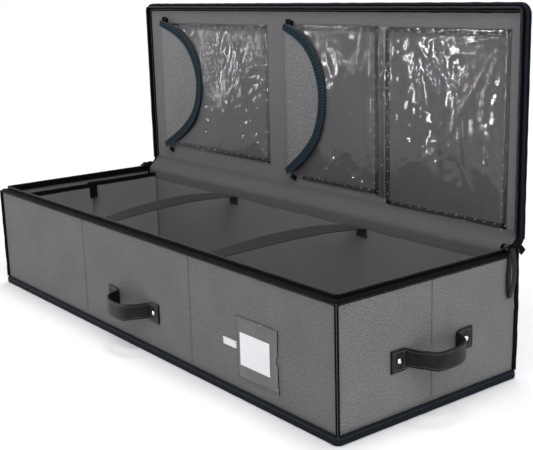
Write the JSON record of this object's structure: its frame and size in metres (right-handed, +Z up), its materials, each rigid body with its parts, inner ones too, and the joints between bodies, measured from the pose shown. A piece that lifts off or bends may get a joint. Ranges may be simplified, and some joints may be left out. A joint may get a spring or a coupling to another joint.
{
  "type": "gift wrap organizer",
  "caption": "Long low fabric storage case with a hinged zip-round lid, clear lid pockets with round flaps, hold-down straps, end pockets, carry handles and a label pocket",
  "frame": {"origin": "on the floor, under the middle of the case", "axes": "+X along the case's length, toward the label's end; +Y toward the lid's hinge; +Z up"},
  "size_m": [1.079, 0.405, 0.5425],
  "materials": {
    "cover_fabric": "plain woven grey polyester, matt",
    "lining_fabric": "smooth grey non-woven lining, matt",
    "stiff_board": "grey-brown stiffener board, sealed between fabrics",
    "black_tape": "blue-black ribbed binding tape",
    "blue_black_tape": "blue-black ribbed tape round the flaps",
    "zip_tape": "black zipper tape and coil",
    "clear_sheet": "clear glossy vinyl sheet",
    "black_leather": "black faux leather",
    "rivet_metal": "bright silver",
    "slider_metal": "glossy black",
    "card_paper": "plain white card",
    "tab_fabric": "plain white woven tab"
  },
  "bodies": {
    "case": {"base_cover": "cover_fabric", "front_cover": "cover_fabric", "back_cover": "cover_fabric", "left_cover": "cover_fabric", "right_cover": "cover_fabric", "case_lining": "lining_fabric", "end_pocket_panel_front": "lining_fabric", "end_pocket_panel_back": "lining_fabric", "base_board": "stiff_board", "front_board_left": "stiff_board", "front_board_middle": "stiff_board", "front_board_right": "stiff_board", "back_board_left": "stiff_board", "back_board_middle": "stiff_board", "back_board_right": "stiff_board", "left_board_front": "stiff_board", "left_board_back": "stiff_board", "right_board_front": "stiff_board", "right_board_back": "stiff_board", "base_binding": "black_tape", "rim_binding": "black_tape", "hold_down_strap_left": "black_tape", "hold_down_strap_right": "black_tape", "corner_piping_front_left": "black_tape", "corner_piping_front_right": "black_tape", "corner_piping_back_left": "black_tape", "corner_piping_back_right": "black_tape", "case_zipper": "zip_tape", "label_window": "clear_sheet", "front_handle": "black_leather", "left_handle": "black_leather", "right_handle": "black_leather", "front_handle_rivet_a": "rivet_metal", "front_handle_rivet_b": "rivet_metal", "left_handle_rivet_a": "rivet_metal", "left_handle_rivet_b": "rivet_metal", "right_handle_rivet_a": "rivet_metal", "right_handle_rivet_b": "rivet_metal", "side_tab": "tab_fabric"},
    "lid": {"lid_cover": "cover_fabric", "lid_lining": "lining_fabric", "lid_board_left": "stiff_board", "lid_board_middle": "stiff_board", "lid_board_right": "stiff_board", "lid_binding": "black_tape", "lid_zipper": "zip_tape", "lid_hinge_strip": "black_tape", "left_pocket_window": "clear_sheet", "middle_pocket_window": "clear_sheet", "right_pocket_window": "clear_sheet", "left_pocket_flap": "cover_fabric", "middle_pocket_flap": "cover_fabric", "left_pocket_flap_tape": "blue_black_tape", "middle_pocket_flap_tape": "blue_black_tape"},
    "left_slider": {"left_slider": "slider_metal"},
    "right_slider": {"right_slider": "slider_metal"},
    "left_pull": {"left_pull": "black_leather"},
    "right_pull": {"right_pull": "black_leather"},
    "label_card": {"label_card": "card_paper"}
  },
  "joints": [
    {"name": "lid_hinge", "type": "hinge", "parent": "case", "child": "lid", "pos_m": [0, 0.175, 0.197], "axis": [1, 0, 0], "range_deg": [-118, 90]},
    {"name": "left_slider_slide", "type": "slide", "parent": "case", "child": "left_slider", "axis": [0, -1, 0], "range_m": [0, 0.305]},
    {"name": "right_slider_slide", "type": "slide", "parent": "case", "child": "right_slider", "axis": [0, -1, 0], "range_m": [0, 0.305]},
    {"name": "left_pull_swing", "type": "hinge", "parent": "left_slider", "child": "left_pull", "pos_m": [-0.507, 0.158, 0.1985], "axis": [0, 1, 0], "range_deg": [0, 90]},
    {"name": "right_pull_swing", "type": "hinge", "parent": "right_slider", "child": "right_pull", "pos_m": [0.507, 0.158, 0.1985], "axis": [0, -1, 0], "range_deg": [0, 90]},
    {"name": "card_slide", "type": "slide", "parent": "case", "child": "label_card", "axis": [1, 0, 0], "range_m": [0, 0.1]}
  ]
}
